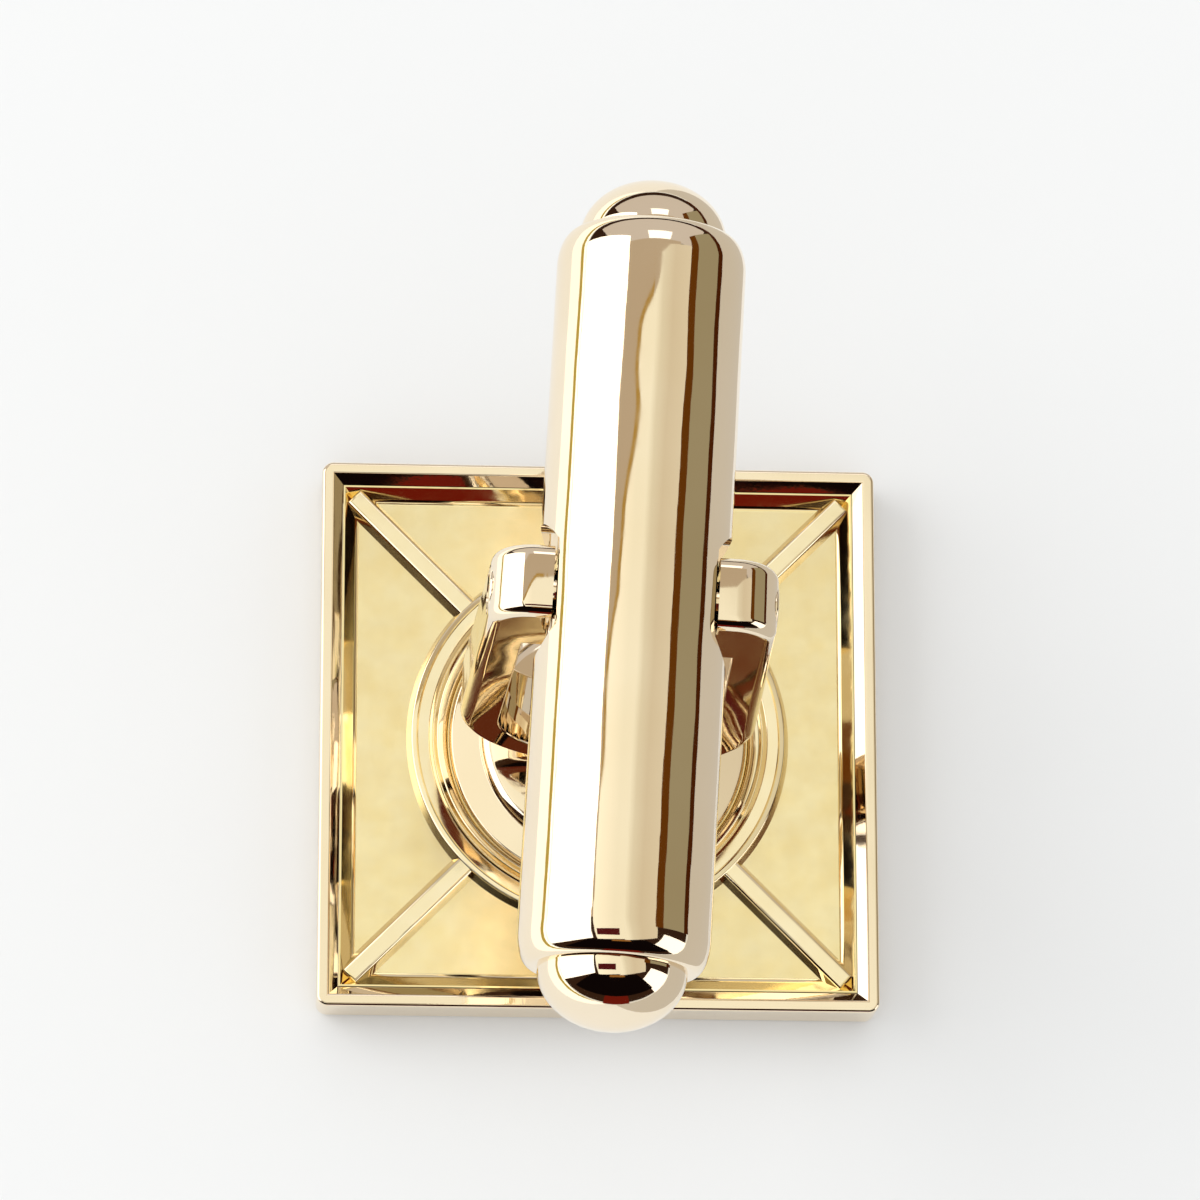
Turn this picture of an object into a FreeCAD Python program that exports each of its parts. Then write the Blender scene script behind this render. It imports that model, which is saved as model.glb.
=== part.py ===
import FreeCAD, Part
import math
import os

# A square cufflink with a bullet toggle, lying face down on the XY plane.
# Millimetres and degrees. The origin is the middle of the front face, +Z points
# to the toggle and +Y runs along the closed toggle.

# Square face: a frame that takes the front panel and then the back tray from behind
face_side = 16.0
face_corner_radius = 0.32
front_edge_radius = 0.3
rim_edge_radius = 0.1
frame_height = 1.6
rim_width = 0.3
lip_depth = 0.28
wall_lean = 0.7
front_ledge_width = 1.1
front_ledge_thickness = 0.35
panel_flange_thickness = 0.3
panel_edge_radius = 0.12
tray_floor_thickness = 0.3
tray_edge_width = 0.05
solder_gap = 0.02

# Raised double ring and diagonal ribs pressed into the tray floor
ring_outer_radius = 5.5
ring_width = 1.2
ring_height = 0.38
ring_flank = 0.25
ring_groove_depth = 0.16
rib_width = 0.8
rib_height = 0.34

# Foot soldered inside the ring: a flange and a raised domed disc, with a saddle for the stirrup
foot_flange_thickness = 0.2
dome_radius = 3.4
dome_step = 0.4
dome_rise = 0.21
dome_edge_radius = 0.33
saddle_depth = 0.15

# Stirrup: one strip bent to a U, with thicker ears round the pivot pin
arm_side_clearance = 0.2
arm_lean = 1.8
stirrup_depth = 2.0
arm_thickness = 1.1
ear_thickness = 1.66
ear_reach = 1.4
ear_top_radius = 1.2
stirrup_edge_radius = 0.35
stirrup_turn = -3.2
stirrup_tilt = -2.0

# Bullet: a tube closed by two domed caps, turning on the pivot pin
tube_radius = 2.56
tube_length = 20.2
tube_wall = 0.81
shoulder_radial = 0.42
shoulder_axial = 0.9
cap_ledge = 0.15
cap_rise = 1.6
spigot_length = 1.2
spigot_fit = 0.01
ear_side_clearance = 0.08
ear_swing_clearance = 0.13
end_swing_clearance = 0.25

# Pivot pin with four flats that the detent spring clicks on
pin_radius = 0.65
pin_seat_fit = 0.01
pin_running_fit = 0.05
pin_end_radius = 0.08
pin_flat_width = 1.0
flat_side_clearance = 0.2

# Hairpin detent spring inside the tube, kept in place by the cap spigots
spring_thickness = 0.2
spring_bore_clearance = 0.17
spring_fit = 0.03
spring_end_clearance = 0.05

# Length by which every cutting shape runs past the face that it cuts
overrun = 1.0

# Sizes that follow from the ones above
face_half = face_side / 2
rim_half = face_half - rim_width
floor_half = rim_half - wall_lean
panel_top_z = front_ledge_thickness + panel_flange_thickness
floor_z = panel_top_z + tray_floor_thickness
seam_z = frame_height - lip_depth
seat_half = rim_half - wall_lean * lip_depth / (frame_height - floor_z)
tray_half = seat_half - solder_gap
opening_half = face_half - front_ledge_width
ring_inner_radius = ring_outer_radius - ring_width
flange_radius = ring_inner_radius - solder_gap
dome_base_z = floor_z + foot_flange_thickness
dome_edge_z = dome_base_z + dome_step
dome_top_z = dome_edge_z + dome_rise
bore_radius = tube_radius - tube_wall
rim_radius = tube_radius - shoulder_radial
cap_radius = rim_radius - cap_ledge
tube_half = tube_length / 2
bullet_half = tube_half + cap_rise
stirrup_low_z = dome_top_z - saddle_depth
swing_room = end_swing_clearance + bullet_half
pin_rise = arm_thickness + swing_room
pin_hole_z = stirrup_low_z + pin_rise
pivot_y = -pin_rise * math.sin(math.radians(stirrup_tilt))
pivot_z = stirrup_low_z + pin_rise * math.cos(math.radians(stirrup_tilt))
arm_inner = tube_radius + arm_side_clearance
arm_outer = arm_inner + arm_thickness
ear_inner = arm_outer - ear_thickness
lean_sin = math.sin(math.radians(arm_lean))
lean_cos = math.cos(math.radians(arm_lean))
bend_inner_radius = (arm_inner * lean_cos + swing_room * lean_sin) / (1 + lean_sin)
bend_outer_radius = bend_inner_radius + arm_thickness
bend_z = stirrup_low_z + bend_outer_radius
ear_top_z = pin_hole_z + ear_reach
ear_bottom_z = pin_hole_z - ear_reach
spot_face_x = ear_inner - ear_side_clearance
spot_face_radius = math.hypot(stirrup_depth / 2, ear_reach) + ear_swing_clearance
leg_in = pin_flat_width / 2 + spring_fit
leg_out = leg_in + spring_thickness
spring_half_width = math.sqrt((bore_radius - spring_bore_clearance) ** 2 - leg_out**2)

X_AXIS = FreeCAD.Vector(1, 0, 0)
Y_AXIS = FreeCAD.Vector(0, 1, 0)
Z_AXIS = FreeCAD.Vector(0, 0, 1)
ORIGIN = FreeCAD.Vector(0, 0, 0)
QUARTER_ELLIPSE_WEIGHT = math.sqrt(0.5)


def square_block(half, low_z, high_z):
    """A square block centred on the Z axis."""
    corner = FreeCAD.Vector(-half, -half, low_z)
    return Part.makeBox(2 * half, 2 * half, high_z - low_z, corner)


def square_wire(half, z):
    """A square outline centred on the Z axis."""
    corners = [(-half, -half), (half, -half), (half, half), (-half, half), (-half, -half)]
    return Part.makePolygon([FreeCAD.Vector(x, y, z) for x, y in corners])


def dish(low_half, low_z, high_half, high_z):
    """The space between sloping inner walls, carried on past its upper edge by the overrun."""
    past_half = high_half + (high_half - low_half) * overrun / (high_z - low_z)
    wires = [square_wire(low_half, low_z), square_wire(past_half, high_z + overrun)]
    return Part.makeLoft(wires, True, True)


def edges_where(shape, test):
    """The edges of a shape whose box passes a test."""
    return [edge for edge in shape.Edges if test(edge.BoundBox)]


def polygon_face(points):
    """A flat face inside a closed outline."""
    return Part.Face(Part.makePolygon(points + points[:1]))


def segment(start, end):
    """A straight edge."""
    return Part.LineSegment(start, end).toShape()


def arc(start, middle, end):
    """A round edge through three points."""
    return Part.Arc(start, middle, end).toShape()


def quarter_ellipse(start, corner, end):
    """A quarter of an ellipse that touches both sides of a corner."""
    curve = Part.BezierCurve()
    curve.setPoles([start, corner, end])
    curve.setWeight(2, QUARTER_ELLIPSE_WEIGHT)
    return curve.toShape()


def turned(edges, axis):
    """A solid of revolution from a closed profile on one side of the axis."""
    return Part.Face(Part.Wire(edges)).revolve(ORIGIN, axis, 360)


def x_cylinder(radius, low_x, high_x):
    """A round bar along X, round the pivot."""
    return Part.makeCylinder(radius, high_x - low_x, FreeCAD.Vector(low_x, pivot_y, pivot_z), X_AXIS)


def tilted(shape):
    """A shape of the upright stirrup, tilted about the foot as the stirrup is soldered on."""
    shape.rotate(FreeCAD.Vector(0, 0, stirrup_low_z), X_AXIS, stirrup_tilt)
    return shape


def make_square_frame():
    """The outer frame: a ledge in front, a seat for panel and tray, and a sloping lip at the rim."""
    block = square_block(face_half, 0, frame_height)
    upright = edges_where(block, lambda box: box.ZLength > frame_height / 2)
    block = block.makeFillet(face_corner_radius, upright)
    front = edges_where(block, lambda box: box.ZMax < frame_height / 2)
    block = block.makeFillet(front_edge_radius, front)
    rim = edges_where(block, lambda box: box.ZMin > frame_height - solder_gap)
    block = block.makeFillet(rim_edge_radius, rim)
    opening = square_block(opening_half, -overrun, frame_height)
    seat = square_block(seat_half, front_ledge_thickness, seam_z)
    return block.cut([opening, seat, dish(seat_half, seam_z, rim_half, frame_height)])


def make_front_panel():
    """The plain face: a raised square that fills the frame's opening, on a flange behind the ledge."""
    plateau = square_block(opening_half - solder_gap, 0, panel_top_z)
    front = edges_where(plateau, lambda box: box.ZMax < panel_top_z / 2)
    plateau = plateau.makeFillet(panel_edge_radius, front)
    flange = square_block(tray_half, front_ledge_thickness, panel_top_z)
    return plateau.fuse(flange).removeSplitter()


def make_rib(angle):
    """A gable-shaped rib from the ring to one corner of the tray."""
    start = ring_outer_radius - ring_flank
    end = math.sqrt(2) * tray_half - rib_width / 2 - solder_gap
    side = rib_width / 2
    ridge_z = floor_z + rib_height
    section = [(-side, panel_top_z), (side, panel_top_z), (side, floor_z), (0, ridge_z), (-side, floor_z)]
    rib = polygon_face([FreeCAD.Vector(start, y, z) for y, z in section])
    rib = rib.extrude(X_AXIS * (end - start))
    rib.rotate(ORIGIN, Z_AXIS, angle)
    return rib


def make_ring():
    """The raised ring: two ridges with sloping flanks and a groove between them."""
    top_z = floor_z + ring_height
    section = [
        (ring_inner_radius, panel_top_z),
        (ring_outer_radius, panel_top_z),
        (ring_outer_radius, floor_z),
        (ring_outer_radius - ring_flank, top_z),
        (ring_outer_radius - ring_width / 2, top_z - ring_groove_depth),
        (ring_inner_radius + ring_flank, top_z),
        (ring_inner_radius, floor_z),
    ]
    face = polygon_face([FreeCAD.Vector(x, 0, z) for x, z in section])
    return face.revolve(ORIGIN, Z_AXIS, 360)


def make_back_tray():
    """The pressed tray: floor, sloping walls, four diagonal ribs and a raised ring."""
    tray = square_block(tray_half, panel_top_z, seam_z)
    tray = tray.cut(dish(floor_half, floor_z, tray_half - tray_edge_width, seam_z))
    ribs = [make_rib(angle) for angle in (45, 135, 225, 315)]
    return tray.fuse(ribs + [make_ring()]).removeSplitter()


def make_domed_foot():
    """The polished foot: a flange and a raised domed disc, hollowed where the stirrup is soldered on."""
    dome_curve = (dome_radius**2 + dome_rise**2) / (2 * dome_rise)
    half_angle = math.asin(dome_radius / dome_curve) / 2
    middle_z = dome_top_z - dome_curve * (1 - math.cos(half_angle))
    axis_low = FreeCAD.Vector(0, 0, floor_z)
    flange_low = FreeCAD.Vector(flange_radius, 0, floor_z)
    flange_high = FreeCAD.Vector(flange_radius, 0, dome_base_z)
    dome_low = FreeCAD.Vector(dome_radius, 0, dome_base_z)
    dome_edge = FreeCAD.Vector(dome_radius, 0, dome_edge_z)
    dome_middle = FreeCAD.Vector(dome_curve * math.sin(half_angle), 0, middle_z)
    axis_high = FreeCAD.Vector(0, 0, dome_top_z)
    foot = turned(
        [
            segment(axis_low, flange_low),
            segment(flange_low, flange_high),
            segment(flange_high, dome_low),
            segment(dome_low, dome_edge),
            arc(dome_edge, dome_middle, axis_high),
            segment(axis_high, axis_low),
        ],
        Z_AXIS,
    )
    rim = edges_where(foot, lambda box: box.ZLength < solder_gap and abs(box.ZMin - dome_edge_z) < solder_gap)
    foot = foot.makeFillet(dome_edge_radius, rim)
    saddle_depth_y = stirrup_depth + 2 * solder_gap
    saddle_start = FreeCAD.Vector(0, -saddle_depth_y / 2, bend_z)
    saddle = Part.makeCylinder(bend_outer_radius, saddle_depth_y, saddle_start, Y_AXIS)
    return foot.cut(tilted(saddle))


def arm_x(bend_radius, z):
    """Distance from the middle of the stirrup to the inside or outside of its leaning arm at a height."""
    return (bend_radius - (z - bend_z) * lean_sin) / lean_cos


def make_stirrup():
    """The U-shaped strip: a round bend, two arms that lean in, and the ears that hold the pivot pin."""
    round_z = ear_top_z - ear_top_radius
    round_x = arm_x(bend_outer_radius - ear_top_radius, round_z)
    round_middle = math.radians((arm_lean + 90) / 2)

    def at(x, z):
        return FreeCAD.Vector(x, -stirrup_depth / 2, z)

    def bend_end(side, radius):
        return at(side * radius * lean_cos, bend_z + radius * lean_sin)

    edges = [
        arc(bend_end(-1, radius), at(0, bend_z - radius), bend_end(1, radius))
        for radius in (bend_outer_radius, bend_inner_radius)
    ]
    for side in (-1, 1):
        round_start = at(side * (round_x + ear_top_radius * lean_cos), round_z + ear_top_radius * lean_sin)
        round_mid = at(
            side * (round_x + ear_top_radius * math.cos(round_middle)),
            round_z + ear_top_radius * math.sin(round_middle),
        )
        round_end = at(side * round_x, ear_top_z)
        ear_high = at(side * ear_inner, ear_top_z)
        ear_low = at(side * ear_inner, ear_bottom_z)
        ear_root = at(side * arm_x(bend_inner_radius, ear_bottom_z), ear_bottom_z)
        edges += [
            segment(bend_end(side, bend_outer_radius), round_start),
            arc(round_start, round_mid, round_end),
            segment(round_end, ear_high),
            segment(ear_high, ear_low),
            segment(ear_low, ear_root),
            segment(ear_root, bend_end(side, bend_inner_radius)),
        ]
    outline = Part.Wire(Part.__sortEdges__(edges))
    strip = Part.Face(outline).extrude(Y_AXIS * stirrup_depth)
    strip = strip.makeFillet(stirrup_edge_radius, edges_where(strip, is_outer_stirrup_edge))
    past_ears = bend_outer_radius + overrun
    return tilted(strip).cut(x_cylinder(pin_radius + pin_seat_fit, -past_ears, past_ears))


def is_outer_stirrup_edge(box):
    """Whether an edge runs along the outside of the U or over an ear, on its front or back face."""
    on_one_face = box.YLength < solder_gap
    reaches_outside = max(abs(box.XMin), abs(box.XMax)) > bend_inner_radius + solder_gap
    over_ear = box.ZMin > ear_top_z - solder_gap
    return on_one_face and (reaches_outside or over_ear)


def make_pivot_pin():
    """The pin fixed in both ears, with four flats in the middle of the tube."""
    pin = x_cylinder(pin_radius, -arm_outer, arm_outer)
    ends = edges_where(pin, lambda box: box.XLength < solder_gap)
    pin = pin.makeFillet(pin_end_radius, ends)
    half_flat = pin_flat_width / 2
    half_length = spring_half_width + flat_side_clearance
    core = Part.makeBox(
        2 * half_length,
        pin_flat_width,
        pin_flat_width,
        FreeCAD.Vector(-half_length, pivot_y - half_flat, pivot_z - half_flat),
    )
    sleeve = x_cylinder(pin_radius + overrun, -half_length, half_length)
    return pin.cut(sleeve.cut(core))


def make_bullet_tube():
    """The tube of the bullet: rounded shoulders, a through bore, and a round recess for each ear."""

    def at(radius, y):
        return FreeCAD.Vector(radius, y, 0)

    edges = [
        segment(at(bore_radius, tube_half), at(bore_radius, -tube_half)),
        segment(at(tube_radius, -tube_half + shoulder_axial), at(tube_radius, tube_half - shoulder_axial)),
    ]
    for side in (-1, 1):
        end_y = side * tube_half
        shoulder_y = side * (tube_half - shoulder_axial)
        edges += [
            segment(at(bore_radius, end_y), at(rim_radius, end_y)),
            quarter_ellipse(at(rim_radius, end_y), at(tube_radius, end_y), at(tube_radius, shoulder_y)),
        ]
    tube = turned(Part.__sortEdges__(edges), Y_AXIS)
    tube.translate(Y_AXIS * pivot_y + Z_AXIS * pivot_z)
    past_tube = tube_radius + overrun
    cuts = [
        x_cylinder(spot_face_radius, -past_tube, -spot_face_x),
        x_cylinder(spot_face_radius, spot_face_x, past_tube),
        x_cylinder(pin_radius + pin_running_fit, -past_tube, past_tube),
    ]
    return tube.cut(cuts)


def make_end_cap(angle):
    """A domed cap whose spigot plugs one end of the tube."""

    def at(radius, y):
        return FreeCAD.Vector(radius, y, 0)

    spigot_radius = bore_radius - spigot_fit
    spigot_end = tube_half - spigot_length
    cap = turned(
        [
            segment(at(0, spigot_end), at(spigot_radius, spigot_end)),
            segment(at(spigot_radius, spigot_end), at(spigot_radius, tube_half)),
            segment(at(spigot_radius, tube_half), at(cap_radius, tube_half)),
            quarter_ellipse(at(cap_radius, tube_half), at(cap_radius, bullet_half), at(0, bullet_half)),
            segment(at(0, bullet_half), at(0, spigot_end)),
        ],
        Y_AXIS,
    )
    cap.rotate(ORIGIN, Z_AXIS, angle)
    cap.translate(Y_AXIS * pivot_y + Z_AXIS * pivot_z)
    return cap


def make_detent_spring():
    """A flat strip bent to a hairpin, whose two legs lie on the flats of the pin."""
    reach = tube_half - spigot_length - spring_end_clearance
    bend_y = leg_out - reach

    def at(y, z):
        return FreeCAD.Vector(-spring_half_width, pivot_y + y, pivot_z + z)

    edges = [
        arc(at(bend_y, -leg_out), at(-reach, 0), at(bend_y, leg_out)),
        arc(at(bend_y, -leg_in), at(bend_y - leg_in, 0), at(bend_y, leg_in)),
    ]
    for side in (-1, 1):
        edges += [
            segment(at(bend_y, side * leg_out), at(reach, side * leg_out)),
            segment(at(reach, side * leg_out), at(reach, side * leg_in)),
            segment(at(reach, side * leg_in), at(bend_y, side * leg_in)),
        ]
    outline = Part.Wire(Part.__sortEdges__(edges))
    return Part.Face(outline).extrude(X_AXIS * 2 * spring_half_width)


# The square face keeps to the axes. The toggle is soldered on a little out of square, tilting to the far side.
face_pieces = {
    "square_frame": make_square_frame(),
    "front_panel": make_front_panel(),
    "back_tray": make_back_tray(),
}
toggle_pieces = {
    "domed_foot": make_domed_foot(),
    "stirrup": make_stirrup(),
    "pivot_pin": make_pivot_pin(),
    "bullet_tube": make_bullet_tube(),
    "far_end_cap": make_end_cap(0),
    "near_end_cap": make_end_cap(180),
    "detent_spring": make_detent_spring(),
}
for piece in toggle_pieces.values():
    piece.rotate(ORIGIN, Z_AXIS, stirrup_turn)

os.makedirs("parts", exist_ok=True)
for name, piece in {**face_pieces, **toggle_pieces}.items():
    piece.exportStep(f"parts/{name}.step")
    print(name, f"solids {len(piece.Solids)}, valid {piece.isValid()}, {piece.Volume:.3f} mm3")
print(f"pivot at {pivot_y:.3f}, {pivot_z:.3f}, spot face radius {spot_face_radius:.3f}")
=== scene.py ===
import math

import bmesh
import bpy
from mathutils import Matrix, Vector


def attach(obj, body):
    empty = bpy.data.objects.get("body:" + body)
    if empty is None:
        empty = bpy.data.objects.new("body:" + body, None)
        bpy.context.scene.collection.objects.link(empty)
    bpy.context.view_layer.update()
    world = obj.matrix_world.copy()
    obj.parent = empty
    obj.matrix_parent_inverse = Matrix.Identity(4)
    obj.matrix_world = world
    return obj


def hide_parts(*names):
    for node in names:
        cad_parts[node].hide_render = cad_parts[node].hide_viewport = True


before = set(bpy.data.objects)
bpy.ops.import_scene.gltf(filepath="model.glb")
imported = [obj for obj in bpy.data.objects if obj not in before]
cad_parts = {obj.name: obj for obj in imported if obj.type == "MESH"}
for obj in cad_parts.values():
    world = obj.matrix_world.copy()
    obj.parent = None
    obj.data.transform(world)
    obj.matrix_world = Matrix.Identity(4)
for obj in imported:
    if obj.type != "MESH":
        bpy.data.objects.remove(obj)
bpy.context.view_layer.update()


# Square frame: the outer frame of the link, cast in gold-coloured metal and mirror polished. Its front edges
# are rounded, its rim slopes inwards, and a ledge behind the front takes the panel and the tray, which are
# soldered in from behind. Every piece is shaped in millimetres and brought down to metres when it is done.
mm_per_metre = 1000
# A corner counts as on a plane within touching, a face looks along an axis past facing, and a cutting tool
# reaches past its piece by overcut
touching = 0.001
facing = 0.9
overcut = 1.0
face_half = 8.0
frame_height = 1.6
corner_round = 0.32
front_round = 0.3
rim_round = 0.1
rim_half = 7.68
opening_half = 6.9
ledge_top = 0.35
seam_height = 1.32
seat_half = 7.3985
lip_round = 0.04


def block(name, half, low, high):
    """A square block in edit mode, ready to be shaped."""
    bpy.ops.object.select_all(action="DESELECT")
    bpy.ops.mesh.primitive_cube_add(
        size=2, location=(0, 0, (low + high) / 2), scale=(half, half, (high - low) / 2)
    )
    piece = bpy.context.object
    piece.name = name
    bpy.ops.object.transform_apply(location=True, rotation=True, scale=True)
    bpy.ops.object.mode_set(mode="EDIT")
    return piece


def pick(piece, kind, test):
    """Selects the corners, edges or faces that pass a test and nothing else."""
    bpy.ops.mesh.select_mode(type=kind)
    bpy.ops.mesh.select_all(action="DESELECT")
    mesh = bmesh.from_edit_mesh(piece.data)
    for item in {"VERT": mesh.verts, "EDGE": mesh.edges, "FACE": mesh.faces}[kind]:
        if test(item):
            item.select_set(True)
    mesh.select_flush_mode()
    bmesh.update_edit_mesh(piece.data)


def both_ends(test):
    """An edge test that asks the same of both ends of the edge."""
    return lambda edge: all(test(corner.co) for corner in edge.verts)


def raise_to(low, high, ratio):
    """Draws the selected face up or down and widens or narrows it about the middle of the link."""
    bpy.ops.mesh.extrude_region_move(TRANSFORM_OT_translate={"value": (0, 0, high - low)})
    bpy.ops.transform.resize(value=(ratio, ratio, 1), center_override=(0, 0, high))


def carve(piece, tool, operation="DIFFERENCE"):
    """Cuts a tool shape out of a piece, or joins it on, and takes the tool away."""
    if bpy.context.object and bpy.context.object.mode == "EDIT":
        bpy.ops.object.mode_set(mode="OBJECT")
    bpy.ops.object.select_all(action="DESELECT")
    piece.select_set(True)
    bpy.context.view_layer.objects.active = piece
    step = piece.modifiers.new("carve", "BOOLEAN")
    step.operation = operation
    step.solver = "EXACT"
    step.object = tool
    bpy.ops.object.modifier_apply(modifier=step.name)
    bpy.data.objects.remove(tool)


def finish_piece(piece, node, body, finish, turn=0.0, smooth=35):
    """Smooths a piece, brings it to size and place, and sets it on its body in the place of its node."""
    if bpy.context.object and bpy.context.object.mode == "EDIT":
        bpy.ops.object.mode_set(mode="OBJECT")
    bpy.ops.object.select_all(action="DESELECT")
    piece.select_set(True)
    bpy.context.view_layer.objects.active = piece
    bpy.ops.object.transform_apply(location=True, rotation=True, scale=True)
    piece.scale = (1 / mm_per_metre, 1 / mm_per_metre, 1 / mm_per_metre)
    piece.rotation_euler = (0, 0, math.radians(turn))
    bpy.ops.object.transform_apply(location=True, rotation=True, scale=True)
    bpy.ops.object.shade_smooth_by_angle(angle=math.radians(smooth))
    even = piece.modifiers.new("even", "WEIGHTED_NORMAL")
    even.keep_sharp = True
    bpy.ops.object.modifier_apply(modifier=even.name)
    piece.data.materials.clear()
    for material in finish:
        piece.data.materials.append(material)
    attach(piece, body)
    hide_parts(node)


def metal(name):
    """A metal finish whose patterns are measured in millimetres on the piece itself."""
    material = bpy.data.materials.new(name)
    material.use_nodes = True
    nodes = material.node_tree.nodes
    place = nodes.new("ShaderNodeTexCoord")
    scale = nodes.new("ShaderNodeMapping")
    scale.inputs["Scale"].default_value = (mm_per_metre, mm_per_metre, mm_per_metre)
    material.node_tree.links.new(place.outputs["Object"], scale.inputs["Vector"])
    shader = nodes["Principled BSDF"]
    shader.inputs["Metallic"].default_value = 1.0
    return material, shader, scale.outputs["Vector"]


# A cloudy pattern keeps mostly between these two values
cloud_low = 0.3
cloud_high = 0.7


def add_noise(material, where, scale, detail, stretch=(1, 1, 1)):
    """A soft cloudy pattern, stretched along the marks of a tool where asked."""
    nodes, links = material.node_tree.nodes, material.node_tree.links
    spread = nodes.new("ShaderNodeMapping")
    spread.inputs["Scale"].default_value = stretch
    cloud = nodes.new("ShaderNodeTexNoise")
    cloud.inputs["Scale"].default_value = scale
    cloud.inputs["Detail"].default_value = detail
    links.new(where, spread.inputs["Vector"])
    links.new(spread.outputs["Vector"], cloud.inputs["Vector"])
    return cloud.outputs["Fac"]


def add_tones(material, pattern, stops, socket):
    """Colours a socket by a pattern, from one tone to the next."""
    ramp = material.node_tree.nodes.new("ShaderNodeValToRGB")
    points = ramp.color_ramp.elements
    while len(points) < len(stops):
        points.new(0.5)
    for point, (position, colour) in zip(points, stops):
        point.position = position
        point.color = (*colour, 1)
    material.node_tree.links.new(pattern, ramp.inputs["Fac"])
    material.node_tree.links.new(ramp.outputs["Color"], socket)


def add_range(material, pattern, low, high, socket):
    """Drives a number on the finish by a pattern."""
    span = material.node_tree.nodes.new("ShaderNodeMapRange")
    span.inputs["From Min"].default_value = cloud_low
    span.inputs["From Max"].default_value = cloud_high
    span.inputs["To Min"].default_value = low
    span.inputs["To Max"].default_value = high
    material.node_tree.links.new(pattern, span.inputs["Value"])
    material.node_tree.links.new(span.outputs["Result"], socket)


def add_relief(material, pattern, depth_mm, socket, below=None):
    """Raises a pattern by a small depth, on top of another relief where there is one."""
    bump = material.node_tree.nodes.new("ShaderNodeBump")
    bump.inputs["Strength"].default_value = 1.0
    bump.inputs["Distance"].default_value = depth_mm / mm_per_metre
    material.node_tree.links.new(pattern, bump.inputs["Height"])
    if below is not None:
        material.node_tree.links.new(below, bump.inputs["Normal"])
    material.node_tree.links.new(bump.outputs["Normal"], socket)
    return bump.outputs["Normal"]


polished_gold, shader, where = metal("polished_gold")
tint = add_noise(polished_gold, where, scale=0.3, detail=3)
tones = [(cloud_low, (0.94, 0.805, 0.6)), (cloud_high, (0.97, 0.845, 0.655))]
add_tones(polished_gold, tint, tones, shader.inputs["Base Color"])
cloud = add_noise(polished_gold, where, scale=1.4, detail=5)
add_range(polished_gold, cloud, low=0.025, high=0.06, socket=shader.inputs["Roughness"])
waves = add_noise(polished_gold, where, scale=0.22, detail=1)
waves_relief = add_relief(polished_gold, waves, depth_mm=0.085, socket=shader.inputs["Normal"])
cloth_marks = add_noise(polished_gold, where, scale=9.0, detail=2, stretch=(1, 0.08, 1))
add_relief(polished_gold, cloth_marks, depth_mm=0.0005, socket=shader.inputs["Normal"], below=waves_relief)

frame_shell = block("frame_shell", face_half, 0, frame_height)
pick(frame_shell, "EDGE", lambda edge: abs(edge.verts[0].co.z - edge.verts[1].co.z) > touching)
bpy.ops.mesh.bevel(offset=corner_round, segments=16, affect="EDGES")
pick(frame_shell, "EDGE", both_ends(lambda co: co.z < touching))
bpy.ops.mesh.bevel(offset=front_round, segments=12, affect="EDGES")
pick(frame_shell, "EDGE", both_ends(lambda co: co.z > frame_height - touching))
bpy.ops.mesh.bevel(offset=rim_round, segments=6, affect="EDGES")
bpy.ops.object.mode_set(mode="OBJECT")

hollow = block("frame_hollow", opening_half, -overcut, ledge_top)
pick(hollow, "FACE", lambda face: face.normal.z > facing)
raise_to(ledge_top, ledge_top, seat_half / opening_half)
raise_to(ledge_top, seam_height, 1)
lip_slope = (rim_half - seat_half) / (frame_height - seam_height)
hollow_top = frame_height + overcut
raise_to(seam_height, hollow_top, 1 + lip_slope * (hollow_top - seam_height) / seat_half)
carve(frame_shell, hollow)

bpy.ops.object.mode_set(mode="EDIT")


def on_lip(co):
    """Whether a point lies where the rim's top meets its slope."""
    return co.z > frame_height - touching and abs(max(abs(co.x), abs(co.y)) - rim_half) < touching


pick(frame_shell, "EDGE", both_ends(on_lip))
bpy.ops.mesh.bevel(offset=lip_round, segments=3, affect="EDGES")
finish_piece(frame_shell, "square_frame", "post", [polished_gold])


# Front panel: the plain face that is seen when the link is worn, a pressed plate with a raised square. It
# fills the frame's opening from behind and is polished like the frame, with the fine marks of a soft cloth.
flange_half = 7.3785
plateau_half = 6.88
panel_top = 0.65
plateau_round = 0.12

face_gold, shader, where = metal("face_gold")
tint = add_noise(face_gold, where, scale=0.25, detail=3)
tones = [(cloud_low, (0.93, 0.78, 0.56)), (cloud_high, (0.96, 0.82, 0.61))]
add_tones(face_gold, tint, tones, shader.inputs["Base Color"])
cloud = add_noise(face_gold, where, scale=1.1, detail=6)
add_range(face_gold, cloud, low=0.03, high=0.09, socket=shader.inputs["Roughness"])
cloth_marks = add_noise(face_gold, where, scale=14.0, detail=2, stretch=(1, 0.05, 1))
add_relief(face_gold, cloth_marks, depth_mm=0.0003, socket=shader.inputs["Normal"])

face_plate = block("face_plate", flange_half, ledge_top, panel_top)
pick(face_plate, "FACE", lambda face: face.normal.z < -facing)
raise_to(ledge_top, ledge_top, plateau_half / flange_half)
raise_to(ledge_top, 0, 1)
pick(face_plate, "EDGE", both_ends(lambda co: co.z < touching))
bpy.ops.mesh.bevel(offset=plateau_round, segments=6, affect="EDGES")
finish_piece(face_plate, "front_panel", "post", [face_gold])


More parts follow.
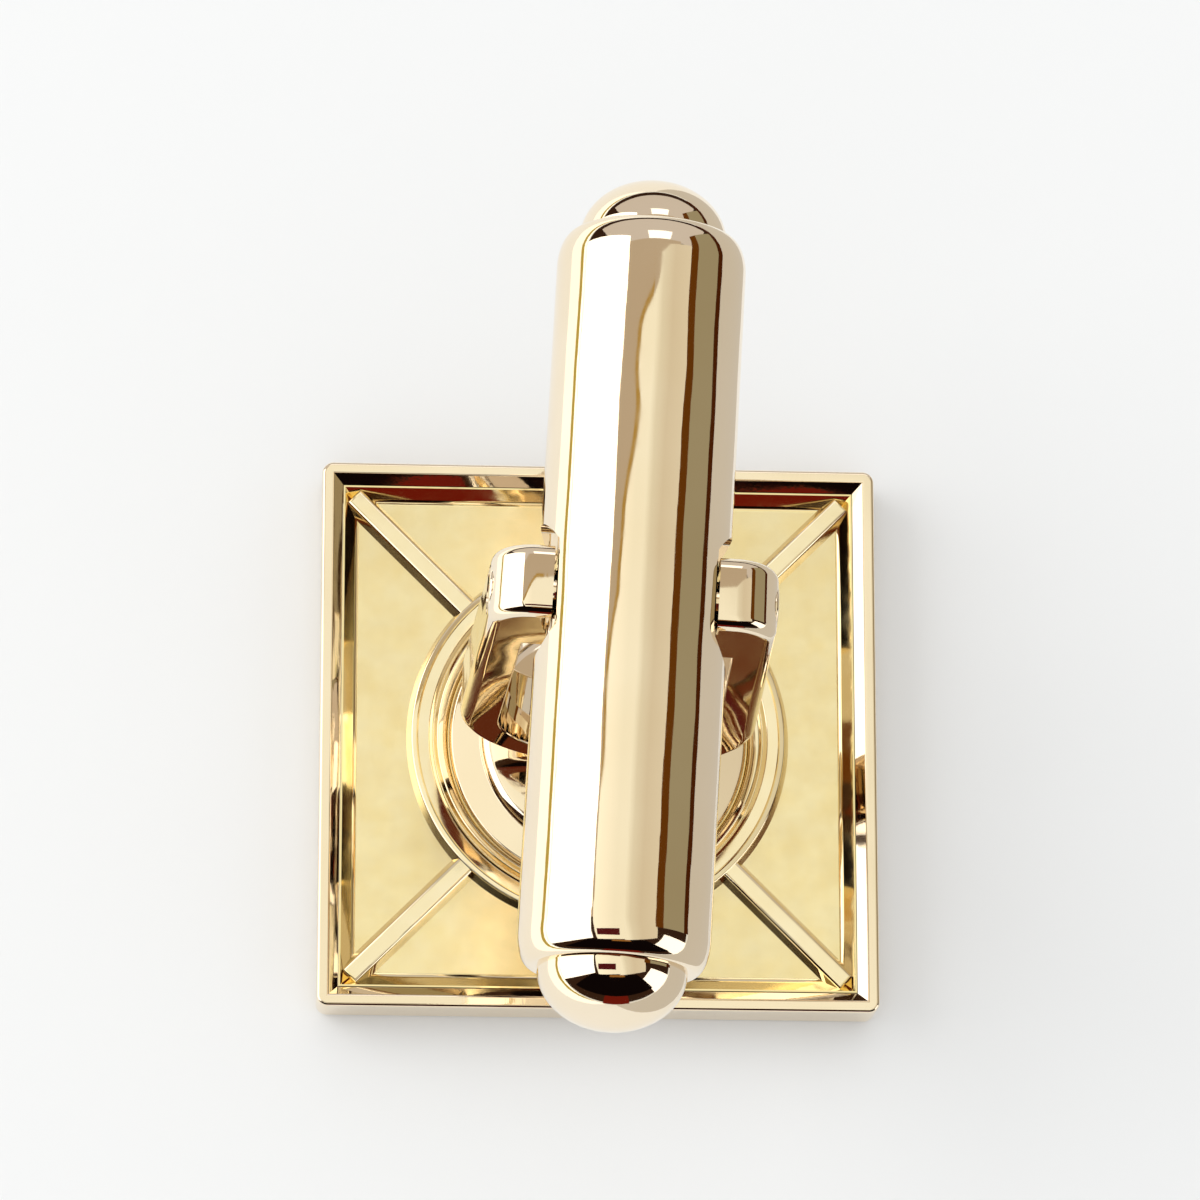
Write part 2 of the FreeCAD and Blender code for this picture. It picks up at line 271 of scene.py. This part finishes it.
# Back tray: the pressed tray behind the face, dropped into the frame and soldered at the seam half-way down
# its walls. Walls, ribs and ring are polished and the floor keeps a fine satin grain from the press. The ribs
# and ring are drawn in a paler gold than the walls, as a painted highlight on the raised parts.
tray_half = 7.3785
tray_edge = 0.05
floor_half = 7.0
floor_height = 0.95
floor_fillet = 0.1
ring_outer = 5.5
ring_inner = 4.3
ring_top = 1.33
ring_groove = 1.15
ring_flank = 0.13
ring_round = 0.08
ring_inner_fall = 0.02
ring_outer_fall = 0.01
groove_middle = 4.74
groove_half = 0.12
groove_round = 0.03
groove_edge_round = 0.05
ring_line = 5.2
line_half = 0.03
line_depth = 0.03
line_crest = 0.005
rib_half = 0.4
rib_top = 1.29
rib_start = 5.25
rib_end = 10.01
rib_round = 0.08
rib_taper = 0.62
floor_band = 0.01
level = 0.99

tray_gold, shader, where = metal("tray_gold")
tint = add_noise(tray_gold, where, scale=0.5, detail=3)
tones = [(cloud_low, (0.94, 0.77, 0.4)), (cloud_high, (0.97, 0.82, 0.48))]
add_tones(tray_gold, tint, tones, shader.inputs["Base Color"])
cloud = add_noise(tray_gold, where, scale=2.0, detail=5)
add_range(tray_gold, cloud, low=0.05, high=0.11, socket=shader.inputs["Roughness"])
waves = add_noise(tray_gold, where, scale=0.7, detail=2)
add_relief(tray_gold, waves, depth_mm=0.02, socket=shader.inputs["Normal"])

# The same polished gold as the walls, drawn paler for the ribs and ring: a painted highlight, not another
# metal.
ridge_gold_painted_highlight, shader, where = metal("ridge_gold_painted_highlight")
tint = add_noise(ridge_gold_painted_highlight, where, scale=0.8, detail=3)
tones = [(cloud_low, (0.95, 0.82, 0.55)), (cloud_high, (0.98, 0.87, 0.63))]
add_tones(ridge_gold_painted_highlight, tint, tones, shader.inputs["Base Color"])
cloud = add_noise(ridge_gold_painted_highlight, where, scale=2.0, detail=5)
add_range(ridge_gold_painted_highlight, cloud, low=0.05, high=0.1, socket=shader.inputs["Roughness"])
waves = add_noise(ridge_gold_painted_highlight, where, scale=0.6, detail=2)
add_relief(ridge_gold_painted_highlight, waves, depth_mm=0.012, socket=shader.inputs["Normal"])

satin_gold, shader, where = metal("satin_gold")
tint = add_noise(satin_gold, where, scale=1.1, detail=4)
tones = [(cloud_low, (0.97, 0.82, 0.46)), (cloud_high, (0.995, 0.88, 0.56))]
add_tones(satin_gold, tint, tones, shader.inputs["Base Color"])
cloud = add_noise(satin_gold, where, scale=1.6, detail=5)
add_range(satin_gold, cloud, low=0.19, high=0.26, socket=shader.inputs["Roughness"])
waves = add_noise(satin_gold, where, scale=0.35, detail=1)
add_relief(satin_gold, waves, depth_mm=0.03, socket=shader.inputs["Normal"])


def draw(name, outline):
    """Draws an outline corner by corner, drawing each edge out of the end of the one before."""
    bpy.ops.object.select_all(action="DESELECT")
    bpy.ops.mesh.primitive_plane_add(size=1)
    piece = bpy.context.object
    piece.name = name
    bpy.ops.object.mode_set(mode="EDIT")
    bpy.ops.mesh.select_mode(type="VERT")
    bpy.ops.mesh.select_all(action="SELECT")
    bpy.ops.mesh.merge(type="CENTER")
    bpy.ops.transform.translate(value=outline[0])
    for start, end in zip(outline, outline[1:]):
        bpy.ops.mesh.extrude_region_move(TRANSFORM_OT_translate={"value": Vector(end) - Vector(start)})
    bpy.ops.mesh.select_all(action="SELECT")
    return piece


def lathe(name, outline, axis, steps):
    """Spins half an outline round an axis, as on a lathe."""
    piece = draw(name, outline)
    bpy.ops.mesh.spin(steps=steps, angle=2 * math.pi, center=(0, 0, 0), axis=axis)
    bpy.ops.mesh.select_all(action="SELECT")
    bpy.ops.mesh.remove_doubles(threshold=0.0001)
    bpy.ops.mesh.normals_make_consistent(inside=False)
    bpy.ops.object.mode_set(mode="OBJECT")
    return piece


def rounded(corners, radius, steps):
    """An outline with each inner corner replaced by a round of the radius given for it."""
    points = [Vector(corners[0])]
    for before, corner, after, size in zip(corners, corners[1:], corners[2:], radius):
        corner = Vector(corner)
        back = (Vector(before) - corner).normalized()
        ahead = (Vector(after) - corner).normalized()
        half = back.angle(ahead) / 2
        middle = corner + (back + ahead).normalized() * (size / math.sin(half)) if size else corner
        start = corner + back * (size / math.tan(half)) - middle
        end = corner + ahead * (size / math.tan(half)) - middle
        sweep = [start.slerp(end, step / steps).normalized() for step in range(steps + 1)] if size else []
        points += [middle + spoke * size for spoke in sweep] or [corner]
    return points + [Vector(corners[-1])]


tray_pressing = block("tray_pressing", tray_half, panel_top, seam_height)
pick(tray_pressing, "FACE", lambda face: face.normal.z > facing)
raise_to(seam_height, seam_height, (tray_half - tray_edge) / tray_half)
raise_to(seam_height, floor_height, floor_half / (tray_half - tray_edge))
pick(tray_pressing, "EDGE", both_ends(lambda co: abs(co.z - floor_height) < touching))
bpy.ops.mesh.bevel(offset=floor_fillet, segments=5, affect="EDGES")
bpy.ops.object.mode_set(mode="OBJECT")

under_floor = (panel_top + floor_height) / 2
ring = lathe(
    "tray_ring",
    rounded(
        [
            (ring_inner, 0, under_floor),
            (ring_inner, 0, floor_height),
            (ring_inner + ring_flank, 0, ring_top - ring_inner_fall),
            (groove_middle - groove_half, 0, ring_top),
            (groove_middle, 0, ring_groove),
            (groove_middle + groove_half, 0, ring_top),
            (ring_line - line_half, 0, ring_top + line_crest),
            (ring_line, 0, ring_top - line_depth),
            (ring_line + line_half, 0, ring_top + line_crest),
            (ring_outer - ring_flank, 0, ring_top - ring_outer_fall),
            (ring_outer, 0, floor_height),
            (ring_outer, 0, under_floor),
            (ring_inner, 0, under_floor),
        ],
        [0, ring_round, groove_edge_round, groove_round, groove_edge_round, 0, 0, 0, ring_round, 0, 0],
        steps=8,
    ),
    axis=(0, 0, 1),
    steps=160,
)
carve(tray_pressing, ring, "UNION")
for quarter in range(4):
    rib = block("tray_rib", rib_half, under_floor, floor_height)
    pick(rib, "FACE", lambda face: face.normal.x > facing)
    bpy.ops.transform.translate(value=(rib_end - rib_half, 0, 0))
    pick(rib, "FACE", lambda face: face.normal.x < -facing)
    bpy.ops.transform.translate(value=(rib_start + rib_half, 0, 0))
    pick(rib, "FACE", lambda face: face.normal.z > facing)
    bpy.ops.mesh.extrude_region_move(TRANSFORM_OT_translate={"value": (0, 0, rib_top - floor_height)})
    bpy.ops.transform.resize(value=(1, rib_taper, 1), center_override=(0, 0, rib_top))
    pick(rib, "EDGE", both_ends(lambda co: co.z > rib_top - touching))
    bpy.ops.mesh.bevel(offset=rib_round, segments=6, affect="EDGES")
    bpy.ops.object.mode_set(mode="OBJECT")
    rib.rotation_euler = (0, 0, math.radians(45 + 90 * quarter))
    carve(tray_pressing, rib, "UNION")
finish_piece(tray_pressing, "back_tray", "post", [tray_gold, satin_gold, ridge_gold_painted_highlight])
walls, satin, painted_highlight_ridges = 0, 1, 2
# The raised ribs and ring inside the walls take the paler gold that paints their highlight.
for face in tray_pressing.data.polygons:
    height = face.center.z * mm_per_metre - floor_height
    inside = max(abs(face.center.x), abs(face.center.y)) * mm_per_metre < floor_half
    if abs(height) < floor_band and face.normal.z > level:
        face.material_index = satin
    elif inside and height > floor_band:
        face.material_index = painted_highlight_ridges
    else:
        face.material_index = walls


# Domed foot: a turned and polished button, soldered inside the ring. Its raised disc carries the stirrup in a
# shallow saddle. Foot, stirrup and bullet all stand a little out of square to the face, and the stirrup tilts
# to the far side.
toggle_turn = -3.2
toggle_tilt = -2.0
flange_radius = 4.28
flange_top = 1.15
flange_fall = 0.05
flange_round = 0.14
flange_corner = 0.03
dome_radius = 3.4
dome_edge = 1.55
dome_round = 0.33
dome_top = 1.76
crown_radius = 2.95
crown_steps = 24
strip_low = 1.61
bend_height = 5.7486
bend_outer = 4.1386
bend_inner = 3.0386
saddle_gap = 0.01
saddle_width = 2.04


def tilt(piece):
    """Tilts a shape of the upright stirrup about its lowest point, as it is soldered on."""
    foot = Matrix.Translation((0, 0, strip_low))
    lean = Matrix.Rotation(math.radians(toggle_tilt), 4, "X")
    piece.matrix_world = foot @ lean @ foot.inverted() @ piece.matrix_world
    return piece


dome_rise = dome_top - dome_edge
dome_curve = (dome_radius**2 + dome_rise**2) / (2 * dome_rise)
crown = [
    (radius, 0, dome_top - dome_curve + math.sqrt(dome_curve**2 - radius**2))
    for radius in [crown_radius * (1 - step / crown_steps) for step in range(crown_steps + 1)]
]
outline = rounded(
    [
        (0, 0, floor_height),
        (flange_radius, 0, floor_height),
        (flange_radius, 0, flange_top - flange_fall),
        (dome_radius, 0, flange_top + flange_fall),
        (dome_radius, 0, dome_edge),
        crown[0],
    ],
    [0, flange_round, flange_corner, dome_round],
    steps=10,
)
outline += crown[1:]
foot_dome = lathe("foot_dome", outline, axis=(0, 0, 1), steps=160)
bpy.ops.mesh.primitive_cylinder_add(
    vertices=256,
    radius=bend_outer + saddle_gap,
    depth=saddle_width,
    location=(0, 0, bend_height),
    rotation=(math.pi / 2, 0, 0),
)
carve(foot_dome, tilt(bpy.context.object))
finish_piece(foot_dome, "domed_foot", "post", [polished_gold], toggle_turn)


# Stirrup: one strip of metal bent to a U, with arms that lean in and thicker ears at the top. The strip's
# outer edges are well rounded, and the bend is soldered into the saddle of the foot.
arm_lean = math.radians(1.8)
strip_half = 1.0
ear_inner = 2.2
ear_top = 16.06
ear_bottom = 13.26
ear_round = 1.2
strip_round = 0.35
strip_inner_round = 0.06
pin_hole = 0.66
pin_hole_height = 14.66
drill_length = 12
bend_steps = 240
ear_steps = 24
outline_slack = 0.003
sharp_angle = 1.2


def arm_x(radius, height):
    """Distance from the middle of the stirrup to a side of its arm at a height."""
    return (radius - (height - bend_height) * math.sin(arm_lean)) / math.cos(arm_lean)


def bend_points(radius, steps):
    """Points along the round bend, from the arm on one side to the arm on the other."""
    sweep = math.pi + 2 * arm_lean
    angles = [math.pi - arm_lean + sweep * step / steps for step in range(steps + 1)]
    return [(radius * math.cos(a), -strip_half, bend_height + radius * math.sin(a)) for a in angles]


round_z = ear_top - ear_round
round_x = arm_x(bend_outer - ear_round, round_z)


def ear_points(side, steps):
    """The outline of one ear, from the outside of its arm over the top to the inside."""
    angles = [arm_lean + (math.pi / 2 - arm_lean) * step / steps for step in range(steps + 1)]
    over = [
        (side * (round_x + ear_round * math.cos(a)), -strip_half, round_z + ear_round * math.sin(a))
        for a in angles
    ]
    return over + [
        (side * ear_inner, -strip_half, ear_top),
        (side * ear_inner, -strip_half, ear_bottom),
        (side * arm_x(bend_inner, ear_bottom), -strip_half, ear_bottom),
    ]


def on_outside(co):
    """Whether a point lies on the outside of the U."""
    if co.z > round_z and abs(co.x) > round_x - touching:
        return math.hypot(abs(co.x) - round_x, co.z - round_z) > ear_round - outline_slack
    if co.z < bend_height:
        return math.hypot(co.x, co.z - bend_height) > bend_outer - outline_slack
    return abs(co.x) > arm_x(bend_outer, co.z) - outline_slack or co.z > ear_top - touching


outline = bend_points(bend_outer, bend_steps) + ear_points(1, ear_steps)
outline += bend_points(bend_inner, bend_steps)[::-1] + ear_points(-1, ear_steps)[::-1]
stirrup_strip = draw("stirrup_strip", outline)
bpy.ops.mesh.edge_face_add()
bpy.ops.mesh.extrude_region_move(TRANSFORM_OT_translate={"value": (0, 2 * strip_half, 0)})
bpy.ops.mesh.select_all(action="SELECT")
bpy.ops.mesh.normals_make_consistent(inside=False)
pick(
    stirrup_strip,
    "EDGE",
    lambda edge: abs(edge.verts[0].co.y - edge.verts[1].co.y) < touching and both_ends(on_outside)(edge),
)
bpy.ops.mesh.bevel(offset=strip_round, segments=8, affect="EDGES")
pick(
    stirrup_strip,
    "EDGE",
    lambda edge: both_ends(lambda co: abs(abs(co.y) - strip_half) < touching)(edge)
    and edge.verts[0].co.y * edge.verts[1].co.y > 0
    and len(edge.link_faces) == 2
    and edge.calc_face_angle(0) > sharp_angle,
)
bpy.ops.mesh.bevel(offset=strip_inner_round, segments=3, affect="EDGES")
bpy.ops.object.mode_set(mode="OBJECT")
bpy.ops.mesh.primitive_cylinder_add(
    vertices=96,
    radius=pin_hole,
    depth=drill_length,
    location=(0, 0, pin_hole_height),
    rotation=(0, math.pi / 2, 0),
)
carve(stirrup_strip, bpy.context.object)
finish_piece(tilt(stirrup_strip), "stirrup", "post", [polished_gold], toggle_turn)


# Bullet tube: the body of the toggle, a thick tube drawn and polished like a mirror. Its ends round off to
# the caps, and a round flat is milled into each side so that the ears sit inside its outline.
pivot = (0, 0.4554, 14.6521)
tube_radius = 2.56
tube_half = 10.1
bore_radius = 1.75
shoulder_radial = 0.42
shoulder_axial = 0.9
flat_depth_x = 2.12
flat_radius = 1.85
pin_bore = 0.7
flat_cutter = 2
shoulder_steps = 14
straight_steps = 72

end_radius = tube_radius - shoulder_radial
straight = tube_half - shoulder_axial
angles = [math.pi / 2 * step / shoulder_steps for step in range(shoulder_steps + 1)]
shoulder = [
    (end_radius + shoulder_radial * math.sin(a), straight + shoulder_axial * math.cos(a)) for a in angles
]
outline = [(bore_radius, tube_half, 0)] + [(radius, y, 0) for radius, y in shoulder]
along = [straight - 2 * straight * step / straight_steps for step in range(1, straight_steps)]
outline += [(tube_radius, y, 0) for y in along]
outline += [(radius, -y, 0) for radius, y in reversed(shoulder)]
outline += [(bore_radius, -tube_half, 0), (bore_radius, tube_half, 0)]
bullet_body = lathe("bullet_body", outline, axis=(0, 1, 0), steps=192)
for side in (-1, 1):
    bpy.ops.mesh.primitive_cylinder_add(
        vertices=128,
        radius=flat_radius,
        depth=flat_cutter,
        location=(side * (flat_depth_x + flat_cutter / 2), 0, 0),
        rotation=(0, math.pi / 2, 0),
    )
    carve(bullet_body, bpy.context.object)
bpy.ops.mesh.primitive_cylinder_add(
    vertices=64, radius=pin_bore, depth=drill_length, location=(0, 0, 0), rotation=(0, math.pi / 2, 0)
)
carve(bullet_body, bpy.context.object)
bullet_body.location = pivot
finish_piece(bullet_body, "bullet_tube", "bullet", [polished_gold], toggle_turn)


# End caps: two turned domes whose spigots plug the ends of the tube. They are polished after they are pressed
# in, and a fine ledge is left where dome and tube meet.
cap_radius = 1.99
cap_rise = 1.6
spigot_radius = 1.74
spigot_length = 1.2
dome_steps = 32

angles = [math.pi / 2 * step / dome_steps for step in range(dome_steps + 1)]
dome = [(cap_radius * math.cos(a), tube_half + cap_rise * math.sin(a)) for a in angles]
spigot_end = tube_half - spigot_length
outline = [(0, spigot_end, 0), (spigot_radius, spigot_end, 0), (spigot_radius, tube_half, 0)]
outline += [(max(radius, 0), y, 0) for radius, y in dome]
for name, node, half_turn in (("far_cap_dome", "far_end_cap", 0), ("near_cap_dome", "near_end_cap", 180)):
    cap = lathe(name, outline, axis=(0, 1, 0), steps=160)
    cap.rotation_euler = (0, 0, math.radians(half_turn))
    cap.location = pivot
    finish_piece(cap, node, "bullet", [polished_gold], toggle_turn)


# Detent spring: a hairpin of bright spring strip inside the tube, which clicks on the flats of the pin. It
# keeps its shape from the model and gets the rolled grain of spring steel.
spring_steel, shader, where = metal("spring_steel")
tint = add_noise(spring_steel, where, scale=2.0, detail=6, stretch=(4, 0.2, 4))
tones = [(cloud_low, (0.46, 0.46, 0.48)), (cloud_high, (0.64, 0.64, 0.66))]
add_tones(spring_steel, tint, tones, shader.inputs["Base Color"])
cloud = add_noise(spring_steel, where, scale=6.0, detail=4, stretch=(3, 0.1, 3))
add_range(spring_steel, cloud, low=0.22, high=0.38, socket=shader.inputs["Roughness"])
grain = add_noise(spring_steel, where, scale=12.0, detail=3, stretch=(3, 0.05, 3))
add_relief(spring_steel, grain, depth_mm=0.001, socket=shader.inputs["Normal"])
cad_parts["detent_spring"].data.materials.clear()
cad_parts["detent_spring"].data.materials.append(spring_steel)


# Pivot pin: a short turned pin through both ears and the tube, riveted flush and polished over. Four flats in
# its middle stop the spring, and only its two round ends show.
pin_radius = 0.65
pin_half = 3.86
pin_end_round = 0.08
pin_core_half = 0.5
pin_flat_half = 1.613
pin_cutter_half = 0.5

bpy.ops.object.select_all(action="DESELECT")
bpy.ops.mesh.primitive_cylinder_add(
    vertices=96, radius=pin_radius, depth=2 * pin_half, rotation=(0, math.pi / 2, 0)
)
hinge_pin = bpy.context.object
hinge_pin.name = "hinge_pin"
bpy.ops.object.transform_apply(location=True, rotation=True, scale=True)
bpy.ops.object.mode_set(mode="EDIT")
pick(hinge_pin, "EDGE", both_ends(lambda co: co.x > pin_half - touching))
bpy.ops.mesh.bevel(offset=pin_end_round, segments=6, affect="EDGES")
pick(hinge_pin, "EDGE", both_ends(lambda co: co.x < touching - pin_half))
bpy.ops.mesh.bevel(offset=pin_end_round, segments=6, affect="EDGES")
bpy.ops.object.mode_set(mode="OBJECT")
for quarter in range(4):
    angle = math.pi / 2 * quarter
    reach = pin_core_half + pin_cutter_half
    bpy.ops.mesh.primitive_cube_add(
        size=2,
        location=(0, reach * math.cos(angle), reach * math.sin(angle)),
        scale=(pin_flat_half, 2 * pin_cutter_half, pin_cutter_half),
        rotation=(angle - math.pi / 2, 0, 0),
    )
    carve(hinge_pin, bpy.context.object)
hinge_pin.location = pivot
finish_piece(hinge_pin, "pivot_pin", "post", [polished_gold], toggle_turn)


# Floor: a plain sheet of pale matt paper that the link lies on, face down.
paper = bpy.data.materials.new("pale_paper")
paper.use_nodes = True
shader = paper.node_tree.nodes["Principled BSDF"]
shader.inputs["Base Color"].default_value = (0.86, 0.86, 0.85, 1)
shader.inputs["Roughness"].default_value = 0.9
shader.inputs["Specular IOR Level"].default_value = 0.1
bpy.ops.object.select_all(action="DESELECT")
bpy.ops.mesh.primitive_circle_add(vertices=128, radius=3, fill_type="NGON")
floor = bpy.context.object
floor.name = "floor"
floor.data.materials.append(paper)


# Studio: a large softbox on the left, and boards that are only there to be mirrored: cream and tan ones
# overhead, a pale one behind, brown ones on the right, cards on the floor, and on the near side dark ones
# with a bright one to their right.
softbox_glow = 1.7
# A ray's glossy depth is 1 in a mirror image and 2 in the image of an image
first_mirror_image = 1.5


def board(name, middle, size, angles, *tones, mirrored_again=None):
    """A glowing board, shaded from one tone to the next, that shows in polished metal and nowhere else. Metal
    that is itself mirrored can show another tone."""
    bpy.ops.object.select_all(action="DESELECT")
    turned = [math.radians(angle) for angle in angles]
    bpy.ops.mesh.primitive_plane_add(size=1, location=middle, rotation=turned)
    sheet = bpy.context.object
    sheet.name = name
    sheet.scale = (size[0], size[1], 1)
    glow = bpy.data.materials.new(name)
    glow.use_nodes = True
    nodes = glow.node_tree.nodes
    nodes.remove(nodes["Principled BSDF"])
    light = nodes.new("ShaderNodeEmission")
    light.inputs["Color"].default_value = (*tones[0][1], 1)
    if len(tones) > 1:
        place = nodes.new("ShaderNodeTexCoord")
        across = nodes.new("ShaderNodeSeparateXYZ")
        glow.node_tree.links.new(place.outputs["UV"], across.inputs["Vector"])
        add_tones(glow, across.outputs["X"], tones, light.inputs["Color"])
    surface = light.outputs["Emission"]
    if mirrored_again is not None:
        path = nodes.new("ShaderNodeLightPath")
        twice = nodes.new("ShaderNodeMath")
        twice.operation = "GREATER_THAN"
        twice.inputs[1].default_value = first_mirror_image
        deep = nodes.new("ShaderNodeEmission")
        deep.inputs["Color"].default_value = (*mirrored_again, 1)
        either = nodes.new("ShaderNodeMixShader")
        glow.node_tree.links.new(path.outputs["Glossy Depth"], twice.inputs[0])
        glow.node_tree.links.new(twice.outputs["Value"], either.inputs["Fac"])
        glow.node_tree.links.new(surface, either.inputs[1])
        glow.node_tree.links.new(deep.outputs["Emission"], either.inputs[2])
        surface = either.outputs["Shader"]
    glow.node_tree.links.new(surface, nodes["Material Output"].inputs["Surface"])
    sheet.data.materials.append(glow)
    sheet.visible_camera = False
    sheet.visible_diffuse = False
    sheet.visible_shadow = False
    sheet.visible_transmission = False


softbox = bpy.data.lights.new("softbox", "AREA")
softbox.shape = "RECTANGLE"
softbox.size = 0.575
softbox.size_y = 0.4
softbox.energy = softbox_glow * math.pi * softbox.size * softbox.size_y
softbox_stand = bpy.data.objects.new("softbox", softbox)
softbox_stand.location = (-0.444, 0.14, 0.247)
softbox_stand.rotation_euler = (0, math.radians(-55.5), 0)
bpy.context.scene.collection.objects.link(softbox_stand)

cream, tan = (0.97, 0.95, 0.82), (0.7, 0.63, 0.5)
cream_tones = ((0, (1.15, 1.12, 0.98)), (0.7, cream))
tan_tones = ((0.09, cream), (0.22, (0.78, 0.74, 0.61)), (0.46, tan), (1, (0.75, 0.69, 0.56)))
russet = (0.11, 0.026, 0.01)
dark_brown = (0.035, 0.016, 0.009)
board("cream_board", (-0.107, 0.067, 0.515), (0.33, 0.195), (0, 0, 4.8), *cream_tones)
board(
    "near_cream_board",
    (-0.088, -0.165, 0.515),
    (0.33, 0.27),
    (0, 0, 4.8),
    *cream_tones,
    mirrored_again=russet,
)
board("cream_trim", (-0.13, 0.168, 0.516), (0.3, 0.009), (0, 0, 4.8), (0, (0.42, 0.26, 0.06)))
board("tan_board", (0.272, 0.092, 0.517), (0.503, 0.25), (0, 0, 9.5), *tan_tones)
board(
    "near_tan_board",
    (0.313, -0.154, 0.517),
    (0.503, 0.25),
    (0, 0, 9.5),
    *tan_tones,
    mirrored_again=russet,
)
board("ceiling_board", (-0.03, 0.195, 0.545), (0.7, 0.16), (0, 0, 0), (0, (0.5, 0.41, 0.31)))
board("pale_board", (0, 0.47, 0.36), (1.3, 0.62), (-50, 0, 0), (0, (0.62, 0.57, 0.54)))
board("brown_board", (0.3, 0.14, 0.133), (0.186, 0.28), (0, 90, 0), (0, (0.33, 0.29, 0.19)))
board("russet_strip", (0.32, 0.15, 0.277), (0.11, 0.3), (0, 90, 0), (0, (0.12, 0.038, 0.004)))
board("dark_strip", (0.299, 0.25, 0.02), (0.038, 0.5), (0, 90, 0), (0, (0.06, 0.014, 0.002)))
board("left_card", (-0.06, 0.02, 0.0005), (0.06, 0.6), (0, 0, 0), (0, (1.35, 1.33, 1.28)))
board("gold_strip", (-0.135, 0.02, 0.0005), (0.09, 0.6), (0, 0, 0), (0, (0.5, 0.38, 0.08)))
board("white_card", (-0.4, 0.02, 0.0005), (0.44, 0.6), (0, 0, 0), (0, (1.6, 1.6, 1.6)))
board("right_card", (0.155, 0.02, 0.0005), (0.285, 0.6), (0, 0, 0), (0, (0.6, 0.57, 0.53)))
board(
    "softbox_wing",
    (-0.444, -0.16, 0.247),
    (0.575, 0.2),
    (0, -55.5, 0),
    (0, (softbox_glow, softbox_glow, softbox_glow)),
    mirrored_again=dark_brown,
)
board("far_light", (0.05, 0.3, 0.44), (0.22, 0.14), (-50, 0, 0), (0, (1.6, 1.6, 1.6)))
board("camera_board", (-0.061, -0.0755, 0.3), (0.142, 0.069), (0, 0, 0), (0, (0.08, 0.008, 0.01)))
board("bronze_board", (0.03, -0.249, 0.38), (0.16, 0.06), (90, 0, 0), (0, (0.3, 0.13, 0.03)))
board("red_board", (0.015, -0.251, 0.038), (0.12, 0.074), (90, 0, 0), (0, (0.14, 0.01, 0.005)))
board("black_board", (0, -0.25, 0.246), (0.6, 0.34), (90, 0, 0), (0, (0.004, 0.002, 0.002)))
board("near_right_board", (0.45, -0.22, 0.175), (0.28, 0.35), (90, 0, 64), (0, (1.6, 1.55, 1.5)))

world = bpy.data.worlds.new("studio")
bpy.context.scene.world = world
world.use_nodes = True
nodes, links = world.node_tree.nodes, world.node_tree.links
pale = nodes["Background"]
pale.inputs["Color"].default_value = (0.93, 0.94, 0.95, 1)
pale.inputs["Strength"].default_value = 1.0
dark = nodes.new("ShaderNodeBackground")
dark.inputs["Color"].default_value = (*dark_brown, 1)
path = nodes.new("ShaderNodeLightPath")
mix = nodes.new("ShaderNodeMixShader")
links.new(path.outputs["Is Glossy Ray"], mix.inputs["Fac"])
links.new(pale.outputs["Background"], mix.inputs[1])
links.new(dark.outputs["Background"], mix.inputs[2])
links.new(mix.outputs["Shader"], nodes["World Output"].inputs["Surface"])


# Camera: high over the near side and a little to the left, with a long lens, as in the photograph.
camera = bpy.data.cameras.new("camera")
camera.sensor_width = 36
camera.lens = 186.7
camera.clip_start = 0.01
camera_stand = bpy.data.objects.new("camera", camera)
bpy.context.scene.collection.objects.link(camera_stand)
back = Vector((-0.0651, -0.26196, 0.96288)).normalized()
right = Vector((-0.01739, 0.96508, 0.26139)).cross(back).normalized()
up = back.cross(right)
look = Matrix((right, up, back)).transposed().to_4x4()
camera_stand.matrix_world = Matrix.Translation((-0.011645, -0.042981, 0.174266)) @ look
bpy.context.scene.camera = camera_stand
bpy.context.scene.view_settings.view_transform = "Standard"
